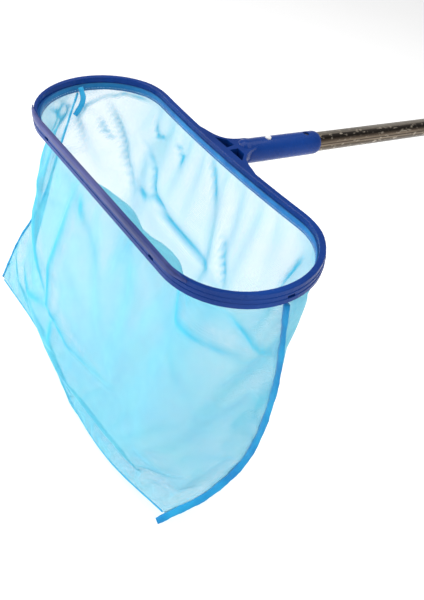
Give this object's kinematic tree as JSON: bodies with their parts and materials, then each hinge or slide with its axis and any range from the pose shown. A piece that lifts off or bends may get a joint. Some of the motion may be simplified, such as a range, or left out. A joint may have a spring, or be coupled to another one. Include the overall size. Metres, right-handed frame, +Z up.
{
  "type": "leaf skimmer net",
  "caption": "Pool leaf skimmer: long rounded hoop with a scoop lip and a deep sewn mesh bag, a yoke and socket, and a snap-clipped tubular pole.",
  "frame": {"origin": "centre of the socket's mouth, on the pole's axis", "axes": "+Y along the pole away from the hoop, +X along the hoop's long side, +Z up out of the hoop's mouth; the hoop's plane dips 7.56 degrees towards -Y"},
  "size_m": [0.5521, 0.6617, 0.4434],
  "materials": {
    "hoop_plastic": "satin moulded",
    "lip_plastic": "satin moulded, scuffed edge",
    "ring_plastic": "matt moulded",
    "hem_tape": "woven tape",
    "net_mesh": "fine open knit mesh",
    "pole_alloy": "drawn, dull bronze-grey, scuffed",
    "button_plastic": "smooth",
    "clip_steel": "spring steel strip"
  },
  "bodies": {
    "frame": {"outer_frame": "hoop_plastic", "scoop_lip": "lip_plastic", "pole_tube": "pole_alloy", "clip_spring": "clip_steel"},
    "net": {"net_ring": "ring_plastic", "net_hem": "hem_tape", "net_bag": "net_mesh", "seam_left": "hem_tape", "seam_right": "hem_tape", "seam_bottom": "hem_tape", "hem_tail": "hem_tape"},
    "button_upper": {"button_upper": "button_plastic"},
    "button_lower": {"button_lower": "button_plastic"}
  },
  "joints": [
    {"name": "ring_release", "type": "slide", "parent": "frame", "child": "net", "axis": [0, 0.1316, -0.9913], "range_m": [0, 0.03]},
    {"name": "button_upper_press", "type": "slide", "parent": "frame", "child": "button_upper", "axis": [0, 0, -1], "range_m": [0, 0.0057], "stiffness_N_per_m": 900, "springref_m": -0.004, "deforming": ["clip_spring"]},
    {"name": "button_lower_press", "type": "slide", "parent": "frame", "child": "button_lower", "axis": [0, 0, 1], "range_m": [0, 0.0057], "stiffness_N_per_m": 900, "springref_m": -0.004, "deforming": ["clip_spring"]}
  ]
}
